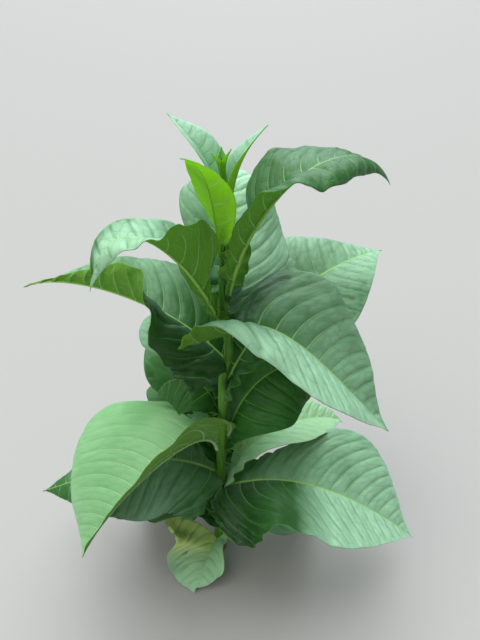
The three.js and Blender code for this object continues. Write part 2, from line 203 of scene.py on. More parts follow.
def leafFinish(name, look, underside):
    material, b = newFinish(name)
    pattern = leafPattern
    shows = pattern["underside" if underside else "top"]
    share, side, phase = b.split(b.attribute("vein"))
    across, ribHalf, spacing = b.split(b.attribute("metric"))
    cell = b.attribute("cell")
    tone = b.split(cell)[2]
    spot = b.out(b.node("ShaderNodeTexCoord"), "Object")
    reach = abs(side)
    cloud = b.noise(spot, pattern["clouds"])
    grain = b.noise(spot, pattern["grain"], 3.0)
    midrib = 1 - b.smooth(abs(across), ribHalf * 0.55, ribHalf)
    toLateral = abs(b.fract(phase + 0.5) - 0.5) * spacing
    lateralHalf = pattern["lateralHalf"] - reach * pattern["lateralTaper"]
    inside = 1 - b.smooth(reach, 0.8, 1.0)  # laterals end before the margin
    lateral = (1 - b.smooth(toLateral, lateralHalf * 0.5, lateralHalf * 1.7)) * inside
    net = 1 - b.smooth(b.cells(cell, 1.0, "DISTANCE_TO_EDGE"), 0.008, 0.05)
    dome = b.cells(cell, 1.0, "F1")
    mesh = 1 - b.smooth(b.cells(cell, pattern["meshScale"], "DISTANCE_TO_EDGE"), 0.02, 0.12)
    if underside:
        # the underside, kept dark as painted shade, lighter here and there
        colour = b.blend(cloud, look["under"], scaled(look["under"], pattern["lighter"]))
    else:
        # painted light and shade on the top: the tone, lighter towards the tip as painted light, darker at
        # the foot as painted shade, and past deep darker still as painted shade
        toneWithLightAndShade = tone + (share - 0.5) * look["paintedTipLight"] - (1 - b.smooth(share, 0.0, 0.35)) * look["dim"]
        mottledLightAndShade = toneWithLightAndShade + (b.smooth(cloud, 0.25, 0.75) - 0.5) * pattern["mottle"]
        colour = b.blend(mottledLightAndShade, look["deep"], look["bright"])
        paintedShadeColour = scaled(look["deep"], pattern["shade"])
        colour = b.blend(b.smooth(0 - toneWithLightAndShade, 0.0, 0.8), colour, paintedShadeColour)
        # painted shade in the creases: alongside the laterals, round each quilted cell and along the small
        # veins
        grooveShade = 1 - b.smooth(toLateral, pattern["grooveHalf"], pattern["grooveEdge"])
        grooveShade = grooveShade * inside * b.smooth(reach, 0.03, 0.15)
        paintedCreaseShade = b.smooth(dome, 0.2, 0.8) * shows["dome"] + grooveShade * shows["grooveShade"] + net * shows["net"]
        colour = b.blend(paintedCreaseShade, colour, look["crease"])
        lateral = lateral * (1 - b.smooth(reach, 0.1, 0.8) * 0.6)
    colour = b.blend(mesh * shows["mesh"], colour, look["vein"])
    if underside:
        colour = b.blend(net * shows["net"], colour, look["vein"])
    colour = b.blend(lateral * shows["lateral"], colour, look["vein"])
    colour = b.blend(midrib * pattern["rib"], colour, look["rib"])
    if underside:  # veins stand out below and are sunk on top, apart from the rib
        raised = pattern["raised"]
        height = lateral + net * raised["net"] + mesh * raised["mesh"] + dome * raised["dome"]
    else:
        sunk = pattern["sunk"]
        height = sunk["level"] - dome * sunk["dome"] - lateral * sunk["lateral"] - net * sunk["net"]
        height = height - mesh * sunk["mesh"] + midrib * sunk["rib"]
    bump = b.out(b.node("ShaderNodeBump", None, {
        "Height": height + grain * 0.1, "Strength": pattern["bump"], "Distance": pattern["bumpDepth"]}))
    surface = b.node("ShaderNodeBsdfPrincipled", None, {
        "Base Color": colour, "Roughness": shows["roughness"] + cloud * 0.1, "Normal": bump,
        "Sheen Weight": 0 if underside else look["sheen"], "Sheen Roughness": pattern["sheenRoughness"],
        "Sheen Tint": pattern["sheenTint"], "Specular IOR Level": shows.get("gloss", look["gloss"])})
    glow = b.node("ShaderNodeBsdfTranslucent", None, {"Color": look["glow"], "Normal": bump})
    mixed = b.node("ShaderNodeMixShader", None, {0: look["through"], 1: b.out(surface), 2: b.out(glow)})
    b.node("ShaderNodeOutputMaterial", None, {"Surface": b.out(mixed)})
    return material


# the stem's colours, browner at its foot, and the scales of its streaks, clouds and down
stemLook = {
    "deep": (0.032, 0.13, 0.004), "bright": (0.08, 0.25, 0.012), "pale": (0.12, 0.27, 0.035),
    "foot": (0.15, 0.12, 0.05), "footHeight": 0.09, "streaks": 260.0, "streakRun": 14.0, "clouds": 14.0,
    "down": 420.0, "bump": 0.7, "bumpDepth": 0.0012, "sheen": 0.15, "sheenRoughness": 0.4,
    "sheenTint": (0.85, 1.0, 0.6), "gloss": 0.3,
}


def stemFinish(name, look):
    material, b = newFinish(name)
    spot = b.out(b.node("ShaderNodeTexCoord"), "Object")
    x, y, z = b.split(spot)
    streak = b.noise(b.join(x * look["streaks"], y * look["streaks"], z * look["streakRun"]), 1.0, 3.0)
    cloud = b.noise(spot, look["clouds"])
    colour = b.blend(b.smooth(streak, 0.3, 0.7), look["deep"], look["bright"])
    colour = b.blend(b.smooth(cloud, 0.45, 0.7) * 0.4, colour, look["pale"])
    browned = b.smooth(z, look["footHeight"], 0.0) + cloud - 0.5
    colour = b.blend(b.smooth(browned, 0.35, 0.9), colour, look["foot"])
    down = b.noise(spot, look["down"])
    bump = b.node("ShaderNodeBump", None, {
        "Height": streak * 0.8 + down * 0.35, "Strength": look["bump"], "Distance": look["bumpDepth"]})
    surface = b.node("ShaderNodeBsdfPrincipled", None, {
        "Base Color": colour, "Roughness": 0.5 + down * 0.12, "Normal": b.out(bump),
        "Sheen Weight": look["sheen"], "Sheen Roughness": look["sheenRoughness"],
        "Sheen Tint": look["sheenTint"], "Specular IOR Level": look["gloss"]})
    b.node("ShaderNodeOutputMaterial", None, {"Surface": b.out(surface)})
    return material


tops = {kind: leafFinish(f"{kind}LeafTop", look, False) for kind, look in leafLooks.items()}
unders = {kind: leafFinish(f"{kind}LeafUnderside", look, True) for kind, look in leafLooks.items()}
stemSkin = stemFinish("stemSkin", stemLook)
print("finishes made")

# the stem's line (height, x, y) and radius (height, radius) as in the solids, in millimetres, then how fine
# it is, the swelling at each node, the ridges that run down from each leaf's foot and the ribs all round
stem = {
    "turns": [(0, 0, 0), (320, 10, 4), (540, 19, -3), (660, 22, 3), (765, 37, -2), (885, 27, 2),
              (1165, 31, 0)],
    "radii": [(0, 19), (35, 15.5), (320, 13.5), (540, 11.5), (765, 9.5), (885, 8), (1000, 6), (1120, 4),
              (1165, 1.6)],
    "sides": 40, "step": 4.0, "fullRadius": 10,
    "swelling": 1.3, "swellingRun": 9, "swellingRound": 0.35, "swellingFront": 0.9,
    "ridge": 0.9, "ridgeTurns": (-0.5, 0.5), "ridgeWidth": 0.16, "ridgeRun": 60, "ridgeEnd": 400,
    "ribs": 0.3, "ribCount": 5, "ribStart": 0.6,
}

# what every leaf has unless its own entry says otherwise: down to the phase as in the solids, the rest is for
# the looks alone
usual = {
    "handles": (0.4, 0.4),  # how far the midrib keeps its first and last direction, as shares of its span
    "drift": 0,  # sideways shift of the tip
    "widest": 0.42,  # share of the length where the blade is widest
    "wing": 0.26,  # width just above the foot, as a share of the widest
    "neck": 0,  # share of the length before the blade starts to widen
    "point": 1.25,  # how fast the blade runs out to its tip
    "root": 0.7,  # width at the foot itself, as a share of the wing
    "wide": 1,  # one half's own share of the width
    "ear": 26,  # how far the lobe at the foot reaches back round the stem
    "sweep": (0, 0),  # how far the margin is drawn on towards the tip
    "curl": (10, 20, 20),  # how far the outer part of a half turns down
    "hem": (0, 0),  # how far the margin itself turns down
    "wave": 6,  # height of the margin's waves
    "waves": 2.5,  # how many there are
    "phase": 0,  # where they start
    "kind": "grown",  # its look
    # the tone is partly a leaf's own lightness and partly painted light and shade: higher where it lies in
    # light, below 0 in shade
    "tone": (0.5, 0.5),  # how light its top is on the way to the tip, from 0, deep, to 1, bright
    "relief": 1,  # its own share of the quilting
    "frill": 1,  # and of the ruffled foot
    "holes": (),  # each by its share of the length, place across from -1 to 1 and radius
}

# each leaf: height of its node, heading seen from above (0 right, 90 away), slope of the midrib at its foot
# and its tip, reach and height of the tip, full width, and the lift of the left and right halves above level
# from foot to tip
leaves = {
    "leaf_lowest_front": dict(
        node=60, heading=-120, rise=30, fall=-20, reach=135, tip=20, width=200, drift=15, handles=(0.1, 0.3),
        leftLift=(45, 50, 40, 30, 15), rightLift=(40, 65, 40, 5, -25), curl=(10, 10, 5), point=0.85,
        leftWide=0.8, leftWing=0.5, leftWidest=0.6, leftEar=30, leftSweep=(-30, -15, -10, -10, 0),
        rightWide=1.35, rightWing=1.55, rightWidest=0.1, rightEar=-15, rightSweep=(55, 45, 45, 35, 15),
        leftTone=(0.2, 0, 0, 0, 0), rightTone=(1.5, 1, 0.1, 0, 0), phase=1, kind="lowest",
        holes=[(0.42, -0.62, 5.5), (0.5, 0.2, 2.0)]),
    "leaf_low_right_behind": dict(
        node=110, heading=20, rise=40, fall=-30, reach=300, tip=40, width=230,
        leftLift=(30, 10, 5), rightLift=(30, 10, 5), phase=2),
    "leaf_low_left_behind": dict(
        node=130, heading=150, rise=40, fall=-30, reach=300, tip=40, width=230,
        leftLift=(30, 10, 5), rightLift=(30, 10, 5), kind="inner", tone=(-0.1, -0.1), phase=3),
    "leaf_low_back": dict(
        node=200, heading=90, rise=50, fall=-35, reach=400, tip=120, width=280,
        leftLift=(40, 20, 10), rightLift=(40, 20, 10), phase=4),
    "leaf_low_right_back": dict(
        node=300, heading=35, rise=65, fall=-50, reach=450, tip=250, handles=(0.45, 0.3), width=200,
        leftLift=(40, 30, 20, 35, 45), rightLift=(40, 35, 20, 10, 5), wing=0.35, leftWide=0.8,
        leftSweep=(65, 60, 45, 25, 5), tone=(1.0, 1.0), phase=5, kind="pale"),
    "leaf_low_right_front": dict(
        node=285, heading=-8, rise=35, fall=-40, reach=505, tip=170, handles=(0.5, 0.2), width=350,
        leftLift=(15, 15, 25, 25, 20), rightLift=(40, 15, 35, 25, 15, 10, 5, 0, -5),
        rightCurl=(45, 40, 20, 5, 0), leftWide=1.1, leftWing=0.25, leftWidest=0.6, leftSweep=(30, 15, 10),
        rightWing=1.15, rightEar=5, rightSweep=(25, 40, 35, 15, 5, 0, 5, 15, 15), leftTone=(0.6, 0.6),
        rightTone=(-0.5, -0.1, 0.95, 0.9, 0.7), phase=0, holes=[(0.4, -0.35, 2.6)]),
    "leaf_low_left": dict(
        node=345, heading=177, rise=35, fall=-25, reach=495, tip=225, width=310,
        leftLift=(0, -40, -35, -35, -30), rightLift=(40, 20, 0), leftCurl=(60, 40, 20),
        leftWing=0.9, leftRoot=0.15, tone=(0.7, 0.5, 0.1, -0.4), phase=1, holes=[(0.3, 0.62, 4.0)]),
    "leaf_middle_left_back": dict(
        node=385, heading=117, rise=46, fall=-45, reach=400, tip=330, handles=(0.45, 0.4), width=330,
        leftLift=(40, 20, 10), rightLift=(40, 20, 10), leftWide=0.75, kind="inner", tone=(0.1, 0.1), phase=2),
    "leaf_middle_right_back": dict(
        node=440, heading=22, rise=84, fall=-55, reach=330, tip=560, handles=(0.8, 0.5), width=300,
        leftLift=(10, 20, 0), rightLift=(5, -35, -50), rightWide=0.85, leftWide=0.75, wing=0.16, ear=8,
        kind="inner", leftTone=(0.5, 0.5), rightTone=(0, 0), phase=3),
    "leaf_middle_left_front": dict(
        node=445, heading=202, rise=84, fall=-64, reach=376, tip=196, handles=(0.36, 0.45), width=380,
        leftLift=(80, 75, 57, 49, 47, 45, 43, 41, 38), rightLift=(20, 18, 25, 30, 20), leftCurl=(0, 8, 8),
        leftWide=0.85, leftWidest=0.32, leftWing=0.35, leftRoot=1, leftEar=40, rightWide=1.25,
        rightSweep=(0, 30, 50, 45, 0), rightEar=6, kind="pale", tone=(0.6, 0.35, 0.3, 0.4),
        relief=0.45, phase=0),
    "leaf_middle_back": dict(
        node=422, heading=108, rise=50, fall=-45, reach=440, tip=500, handles=(0.45, 0.4), width=310,
        leftLift=(40, 20, 10), rightLift=(40, 20, 10), wing=0.16, ear=8,
        kind="inner", tone=(0.2, 0.2), phase=4),
    "leaf_middle_left": dict(
        node=560, heading=158, rise=84, fall=-70, reach=170, tip=560, handles=(0.8, 0.6), width=260,
        leftLift=(10, -35, -30), rightLift=(0, -10, 0), leftWide=0.65, rightWide=0.6, wing=0.16, ear=8,
        kind="inner", tone=(-0.2, -0.2), phase=5),
    "leaf_upper_right_back": dict(
        node=648, heading=40, rise=62, fall=-12, reach=535, tip=818, handles=(0.4, 0.3), width=360,
        leftLift=(40, 28, 20), rightLift=(30, -3, 5), curl=(10, 30, 20), wing=0.26, root=1, rightWide=0.87,
        tone=(0.3, 0.3, 0.35, 0.6), phase=1),
    "leaf_upper_left_back": dict(
        node=616, heading=114, rise=50, fall=-50, reach=340, tip=640, handles=(0.5, 0.4), width=290,
        leftLift=(30, 10, 5), rightLift=(20, 5, 5), wing=0.16, ear=8, phase=2),
    "leaf_upper_right_front": dict(
        node=800, heading=-12, rise=53, fall=-44, reach=348, tip=597, handles=(0.35, 0.35), width=290,
        leftLift=(10, 20, 35, 30, 0), rightLift=(42, 44, 25, 18, 15, 15, 15, 10, 0), leftCurl=(60, 10, -40),
        leftWide=1.25, leftWidest=0.3, leftEar=5, leftSweep=(-15, -50, -50, -10, 10),
        rightWide=0.9, rightWing=0.92, rightRoot=1, rightNeck=0.05, rightEar=35,
        rightCurl=(-5, 35, 30, 15, 5), rightHem=(0, 80, 0, 0, 0),
        rightSweep=(-5, -55, -25, -5, -5, 0, 5, 10, 10), leftTone=(0.4, 0.45),
        rightTone=(0.6, 1.3, 0.9, 0.6), frill=0.3, phase=0),
    "leaf_upper_left": dict(
        node=735, heading=164, rise=48, fall=-33, reach=470, tip=837, handles=(0.44, 0.2), width=280,
        leftLift=(15, 20, 35, 55, 70, 75, 80, 75, 70), rightLift=(25, 20, 15, 15, 15, 25, 30, 0, -60),
        leftCurl=(105, 100, 85, 50, 0, -35, -40, -40, -25), rightCurl=(20, 30, 20, 10, 0), widest=0.3,
        leftWing=0.9, leftRoot=0.15, rightWing=0.65, rightWide=1.15, point=2.2, rightEar=6,
        leftSweep=(-5, 10, 10, -20, -40, -50, -45, -25, 5), rightSweep=(25, 30, 10, 0, -5),
        leftTone=(-0.7, -0.7), rightTone=(0.25, 0.3)),
    "leaf_upper_left_front": dict(
        node=825, heading=205, rise=70, fall=-73, reach=243, tip=972, handles=(0.75, 0.65), width=223,
        leftLift=(35, 60, 80, 85, 55, 30, 0, -30, -50), rightLift=(-20, -10, 25, 5, 45),
        leftCurl=(20, 25, 30), rightCurl=(-5, -5, -5), leftWide=0.75, rightWide=0.95, widest=0.33, wing=0.2,
        leftNeck=0.15, leftSweep=(30, 40, 50, 65, 50, 15, -10, 0, 5), rightSweep=(20, -15, -25, -30, -30),
        tone=(0.6, 0.65)),
    "leaf_upper_back": dict(
        node=845, heading=87, rise=42, fall=-11, reach=292, tip=1053, handles=(0.7, 0.3), width=222,
        leftLift=(30, 5, 0), rightLift=(0, -25, 5), wing=0.2, ear=8, widest=0.7, leftSweep=(-20, -5, 10),
        rightWide=1.35, rightWidest=0.4, rightSweep=(10, 10, 10),
        leftTone=(0.3, 0.3), rightTone=(0.9, 0.9), phase=3),
    "leaf_top_right": dict(
        node=880, heading=26, rise=77, fall=-57, reach=370, tip=1070, handles=(0.67, 0.34), width=225,
        leftLift=(-30, -40, -15, 15, 15, 0, -10, -15, -15), rightLift=(40, 85, 90, 80, 50, 15, -5, -30, -45),
        leftCurl=(80, 15, -50), rightCurl=(45, 55, 50), widest=0.58, wing=0.48, neck=0.11, ear=8,
        leftSweep=(-25, 10, 25, 15, -10), rightWide=0.8, rightSweep=(20, 30, 20, 0, -25, -45, -35, -10, 15),
        tone=(0.1, -0.2)),
    "leaf_young_front": dict(
        node=985, heading=-135, rise=84, fall=15, reach=78, tip=1180, handles=(0.6, 0.25), width=112,
        leftLift=(50, 15, 5), rightLift=(50, 15, 5), curl=(10, 20, 10), widest=0.6, ear=5,
        wave=2, kind="young"),
    "leaf_young_right": dict(
        node=1003, heading=19, rise=82, fall=40, reach=78, tip=1210, handles=(0.55, 0.35), width=62,
        leftLift=(65, 50, 30), rightLift=(65, 50, 30), widest=0.5, ear=5, wave=2,
        kind="shoot", tone=(0.3, 0.8)),
    "leaf_young_left": dict(
        node=1075, heading=140, rise=80, fall=30, reach=120, tip=1217, handles=(0.5, 0.3), width=66,
        leftLift=(60, 40, 30), rightLift=(60, 45, 30), widest=0.5, ear=5, wave=2,
        kind="shoot", tone=(0.5, 0.7)),
}


def ease(share):
    share = np.clip(share, 0, 1)
    return share * share * (3 - 2 * share)


def along(values, share):
    table = np.array(values, float)
    place = np.clip(share, 0, 1) * (len(table) - 1)
    first = np.minimum(np.floor(place).astype(int), len(table) - 2)
    return table[first] + (table[first + 1] - table[first]) * ease(place - first)


def atHeight(table, height, column):
    rows = np.array(table, float)
    first = np.clip(np.searchsorted(rows[:, 0], height, "right") - 1, 0, len(rows) - 2)
    low, high = rows[first], rows[first + 1]
    part = ease((height - low[..., 0]) / (high[..., 0] - low[..., 0]))
    return low[..., column] + (high[..., column] - low[..., column]) * part


def stemCentre(height):
    height = np.asarray(height, float)
    return np.stack([atHeight(stem["turns"], height, 1), atHeight(stem["turns"], height, 2), height], -1)


def stemRadius(height):
    return atHeight(stem["radii"], np.asarray(height, float), 1)


def leafValue(leaf, name):
    return leaf.get(name, usual[name])


# a leaf's own value for one half, its value for both, or the usual one
def sideValue(leaf, side, name):
    return leaf.get(side + name[0].upper() + name[1:], leafValue(leaf, name))


def unit(vectors):
    return vectors / np.maximum(np.linalg.norm(vectors, axis=-1, keepdims=True), 1e-9)


# how fine a blade's grid is and how its veins lie, in millimetres; runs and ribShare are shares of the leaf's
# length, wave is what stays of the margin's waves beyond their run, and lean is how far the laterals slant to
# the tip: at the rib, further out and nearer the tip
blade = {
    "curvePoints": 801, "rowStep": 3.8, "rows": (40, 160), "columnStep": 3.9, "columns": (10, 50),
    "samples": 72, "ribShare": 0.0075, "ribTip": 0.16, "ribTaper": 1.1, "ribMost": 0.1,
    "ribSteps": (0.25, 0.5, 0.75, 1.0, 1.35),
    "lateralStep": 38.0, "fewestLaterals": 6, "lateralShift": 0.24, "phaseShift": 0.37,
    "lean": (0.15, 0.45, 0.35), "inStem": 1, "footRun": 0.07, "earRun": 0.09, "waveRun": 0.18, "wave": 0.35,
    "fullWave": 30, "leastWidth": 1.5,
}

# the quilted cells between the laterals: their size outwards, how many to a lateral, how they are warped
# along the leaf and outwards, and what keeps the two halves apart
quilt = {"cell": 24.0, "perLateral": 2, "along": (0.2, 2.3, 1.7), "outwards": (0.25, 4.1), "apart": 9}


# the midrib's line, its directions forward, left and up, and its length
def midribOf(leaf):
    heading = math.radians(leaf["heading"])
    out = np.array([math.cos(heading), math.sin(heading), 0])
    across = np.array([-math.sin(heading), math.cos(heading), 0])

    def slope(angle):
        return out * math.cos(math.radians(angle)) + np.array([0, 0, math.sin(math.radians(angle))])

    foot = stemCentre(leaf["node"]) + out * (stemRadius(leaf["node"]) - blade["inStem"])
    drift = leafValue(leaf, "drift")
    tip = foot + out * leaf["reach"] + across * drift
    tip[2] = leaf["tip"]
    span = np.linalg.norm(tip - foot)
    first, last = leafValue(leaf, "handles")
    leave = foot + slope(leaf["rise"]) * first * span
    arrive = tip - slope(leaf["fall"]) * last * span - across * drift / 2
    t = np.linspace(0, 1, blade["curvePoints"])[:, None]
    curve = foot * (1 - t) ** 3 + 3 * leave * t * (1 - t) ** 2 + 3 * arrive * t * t * (1 - t) + tip * t ** 3
    run = np.concatenate([[0], np.cumsum(np.linalg.norm(np.diff(curve, axis=0), axis=1))])
    rows = int(np.clip(run[-1] / blade["rowStep"], *blade["rows"]))
    even = np.linspace(0, run[-1], rows)
    line = np.stack([np.interp(even, run, curve[:, axis]) for axis in range(3)], -1)
    forward = unit(np.gradient(line, axis=0))
    left = unit(across - (forward @ across)[:, None] * forward)
    return line, forward, left, np.cross(forward, left), run[-1]


def halfWidth(leaf, side, share):
    widest, wing, neck, root = (sideValue(leaf, side, name) for name in ("widest", "wing", "neck", "root"))
    onward = np.clip((share - widest) / (1 - widest), 0, 1)
    lower = wing + (1 - wing) * ease((share - neck) / (widest - neck))
    upper = np.cos(onward * math.pi / 2) ** leafValue(leaf, "point")
    foot = root + (1 - root) * ease(share / blade["footRun"])
    return leaf["width"] / 2 * np.where(share < widest, lower, upper) * foot * sideValue(leaf, side, "wide")


# where a point lies among the quilted cells, and its tone there, with painted light and shade
def cellPlace(phase, away, sign, tone):
    up = phase * quilt["perLateral"]
    out = away / quilt["cell"]
    warp, byOut, byPhase = quilt["along"]
    warpedUp = up + warp * np.sin(out * byOut + phase * byPhase) + quilt["apart"] * sign
    warp, byPhase = quilt["outwards"]
    warpedOut = out + warp * np.sin(phase * byPhase + out)
    return np.stack([warpedUp, warpedOut, up * 0 + tone], -1)


# one leaf's fine grid: its places, and what its finish and its relief read
def bladeGrid(leaf):
    line, forward, left, over, length = midribOf(leaf)
    share = np.linspace(0, 1, len(line))
    taper = blade["ribTip"] + (1 - blade["ribTip"]) * (1 - share) ** blade["ribTaper"]
    rib = length * blade["ribShare"] * taper  # half width
    laterals = max(round(length / blade["lateralStep"]), blade["fewestLaterals"])
    offset = leafValue(leaf, "phase") * blade["phaseShift"]
    ribSteps = np.array(blade["ribSteps"])
    plain = int(np.clip(leaf["width"] / 2 / blade["columnStep"], *blade["columns"]))
    samples = blade["samples"]
    q = np.arange(samples + 1) / samples
    halves = []
    for side, sign in (("left", 1), ("right", -1)):
        lift = np.radians(along(leaf[side + "Lift"], share))[:, None]
        curl = np.radians(along(sideValue(leaf, side, "curl"), share))[:, None]
        hem = np.radians(along(sideValue(leaf, side, "hem"), share))[:, None]
        width = np.maximum(halfWidth(leaf, side, share), blade["leastWidth"])[:, None]
        ear = (sideValue(leaf, side, "ear") * np.exp(-((share / blade["earRun"]) ** 2)))[:, None]
        sweep = along(sideValue(leaf, side, "sweep"), share)[:, None]
        ripple = (leafValue(leaf, "wave")
                  * np.sin(2 * math.pi * usual["waves"] * share + leafValue(leaf, "phase") + sign)
                  * (blade["wave"] + (1 - blade["wave"]) * np.exp(-((share / blade["waveRun"]) ** 2)))
                  * np.minimum(width[:, 0] / blade["fullWave"], 1))[:, None]
        middle = (q[1:] - 0.5 / samples)[None, :]
        turn = lift - curl * middle ** 2 - hem * middle ** 8
        start = np.zeros((len(line), 1))
        sideways = np.concatenate([start, np.cumsum(np.cos(turn), 1) * width / samples], 1)
        upwards = np.concatenate([start, np.cumsum(np.sin(turn), 1) * width / samples], 1)
        turn = np.concatenate([turn[:, :1], turn], 1)
        sideways = sideways - np.sin(turn) * ripple * q ** 2
        upwards = upwards + np.cos(turn) * ripple * q ** 2
        onwards = (sweep - ear) * q ** 1.5
        most = blade["ribMost"] * np.arange(1, len(ribSteps) + 1)
        near = np.minimum(ribSteps * rib[:, None] / width, most)
        rest = near[:, -1:] + (1 - near[:, -1:]) * (np.arange(1, plain + 1) / plain)
        columns = np.concatenate([near, rest], 1)
        place = columns * samples
        low = np.minimum(np.floor(place).astype(int), samples - 1)
        part = place - low

        def pick(values):
            before = np.take_along_axis(values, low, 1)
            after = np.take_along_axis(values, low + 1, 1)
            return before * (1 - part) + after * part

        points = (line[:, None] + left[:, None] * (sign * pick(sideways))[..., None]
                  + over[:, None] * pick(upwards)[..., None] + forward[:, None] * pick(onwards)[..., None])
        away = columns * width
        leanRib, leanOut, leanTip = blade["lean"]
        lean = away * (leanRib + leanOut * away / (leaf["width"] / 2) + leanTip * share[:, None] ** 2)
        phase = laterals * (share[:, None] - lean / length) + blade["lateralShift"] * sign + offset
        vein = np.stack([np.repeat(share[:, None], columns.shape[1], 1), sign * columns, phase], -1)
        metric = np.stack([sign * away / 1000, np.repeat(rib[:, None], columns.shape[1], 1) / 1000,
                           np.full(columns.shape, length / laterals / 1000)], -1)
        tone = along(sideValue(leaf, side, "tone"), share)
        halves.append((points, vein, metric, cellPlace(phase, away, sign, tone[:, None])))
    middlePhase = laterals * share + offset
    centre = (line[:, None], np.stack([share, share * 0, middlePhase], -1)[:, None],
              np.stack([share * 0, rib / 1000, share * 0 + length / laterals / 1000], -1)[:, None],
              cellPlace(middlePhase, share * 0, 1, tone)[:, None])  # the right half's tone, hidden by the rib
    grids = [np.concatenate([halves[0][k][:, ::-1], centre[k], halves[1][k]], 1) for k in range(4)]
    return grids, rib, length


# the ragged edge of a hole: its lobes and nicks as shares of the radius, how far outside it, in millimetres,
# a point of the grid is still drawn to it, and the least distance from the middle that counts
holeEdge = {"lobes": 0.22, "nicks": 0.12, "rim": 1.2, "least": 0.4}


def gridMesh(name, points, vein, metric, cell, holes, length):
    rows, columns = points.shape[:2]
    index = np.arange(rows * columns).reshape(rows, columns)
    quads = np.stack([index[:-1, :-1], index[:-1, 1:], index[1:, 1:], index[1:, :-1]], -1).reshape(-1, 4)
    keep = np.ones(len(quads), bool)
    moved = points.copy()
    if holes:  # faces inside a hole go, and the points round it move out to its edge
        alongway = vein[..., 0] * length
        acrossway = metric[..., 0] * 1000
        stepAlong, stepAcross = np.gradient(points, axis=0), np.gradient(points, axis=1)
        gapAlong = np.maximum(np.abs(np.gradient(alongway, axis=0)), 1e-6)[..., None]
        gapAcross = np.gradient(acrossway, axis=1)[..., None]
    for share, side, radius in holes:
        row = int(share * (rows - 1))
        column = int(np.argmin(np.abs(vein[row, :, 1] - side)))
        offAlong = alongway - alongway[row, column]
        offAcross = acrossway - acrossway[row, column]
        angle = np.arctan2(offAlong, offAcross)
        lobes = holeEdge["lobes"] * np.sin(2 * angle + 1)
        edge = radius * (1 + lobes + holeEdge["nicks"] * np.sin(5 * angle))
        far = np.hypot(offAlong, offAcross)
        inside = far < edge + holeEdge["rim"]
        grow = (edge / np.maximum(far, holeEdge["least"]) - 1) * inside
        moved += ((grow * offAlong)[..., None] * stepAlong / gapAlong
                  + (grow * offAcross)[..., None] * stepAcross / gapAcross) * inside[..., None]
        keep &= ~inside.reshape(-1)[quads].all(1)
    mesh = bpy.data.meshes.new(name)
    mesh.from_pydata((moved.reshape(-1, 3) / 1000).tolist(), [], quads[keep].tolist())
    for label, values in (("vein", vein), ("metric", metric), ("cell", cell)):
        layer = mesh.attributes.new(label, "FLOAT_VECTOR", "POINT")
        layer.data.foreach_set("vector", values.reshape(-1).astype(np.float32))
    return mesh


# relief of a blade, in metres: laterals sunk, each cell of the quilt domed, a ruffled foot and a wavy margin
reliefSizes = {"veinDepth": 0.003, "domeHeight": 0.0024, "roll": 0.006, "ruffle": 0.008, "edgeWave": 0.005}
reliefNoise = {"quilt": 7.0, "roll": 14.0, "crease": 55.0, "ruffle": 20.0, "shift": 4, "turns": 9.4}


def reliefTree():
    tree = bpy.data.node_groups.new("bladeRelief", "GeometryNodeTree")
    tree.interface.new_socket("Geometry", in_out="INPUT", socket_type="NodeSocketGeometry")
    for name, value in reliefSizes.items():
        tree.interface.new_socket(name, in_out="INPUT", socket_type="NodeSocketFloat").default_value = value
    tree.interface.new_socket("seed", in_out="INPUT", socket_type="NodeSocketFloat")
    tree.interface.new_socket("finish", in_out="INPUT", socket_type="NodeSocketMaterial")
    tree.interface.new_socket("Geometry", in_out="OUTPUT", socket_type="NodeSocketGeometry")
    b = Board(tree)
    noise = reliefNoise
    given = b.node("NodeGroupInput")
    sizes = {name: b.out(given, name) for name in reliefSizes}
    share, side, phase = b.split(b.named("vein"))
    x, y, z = b.split(b.out(b.node("GeometryNodeInputPosition")))
    shifted = b.join(x + b.out(given, "seed"), y, z)
    reach = abs(side)
    blend = b.smooth(reach, 0.02, 0.14) * b.smooth(share, 0.0, 0.05) * (1 - b.smooth(share, 0.88, 1.0))
    quilted = 0.25 + b.smooth(b.noise(shifted, noise["quilt"]), 0.38, 0.62) * 0.75
    dome = (0.4 - b.cells(b.named("cell"), 1.0, "F1")) * quilted
    puff = b.smooth(abs(b.fract(phase + 0.5) - 0.5), 0.0, 0.24) - 0.7
    margin = b.smooth(reach, 0.75, 1.0)
    roll = b.noise(shifted, noise["roll"]) - 0.5
    crease = b.noise(shifted, noise["crease"], 1.0) - 0.5
    turns = phase * noise["turns"] + b.noise(shifted, noise["ruffle"]) * noise["shift"]
    ruffle = b.maths("SINE", turns)
    foot = 1 - b.smooth(share, 0.12, 0.26)
    height = (puff * sizes["veinDepth"] * (1 - margin * 0.7) + dome * sizes["domeHeight"]) * blend
    height = height + roll * sizes["roll"] * b.smooth(reach, 0.05, 0.6) * b.smooth(share, 0.0, 0.15)
    height = height + (ruffle + crease) * sizes["ruffle"] * foot * b.smooth(reach, 0.3, 1.0)
    height = height + crease * sizes["edgeWave"] * margin
    normal = b.out(b.node("GeometryNodeInputNormal"))
    lift = b.out(b.node("ShaderNodeVectorMath", {"operation": "SCALE"}, {0: normal, "Scale": height}))
    moved = b.node("GeometryNodeSetPosition", None, {"Geometry": b.out(given, "Geometry"), "Offset": lift})
    whole = b.node("GeometryNodeRealizeInstances", None, {0: b.out(moved)})
    finish = {"Geometry": b.out(whole), "Material": b.out(given, "finish")}
    coloured = b.node("GeometryNodeSetMaterial", None, finish)
    b.node("NodeGroupOutput", None, {0: b.out(coloured)})
    return tree


relief = reliefTree()


def setInput(modifier, name, value):
    sockets = modifier.node_group.interface.items_tree
    socket = next(item for item in sockets if item.name == name and item.in_out == "INPUT")
    modifier[socket.identifier] = value


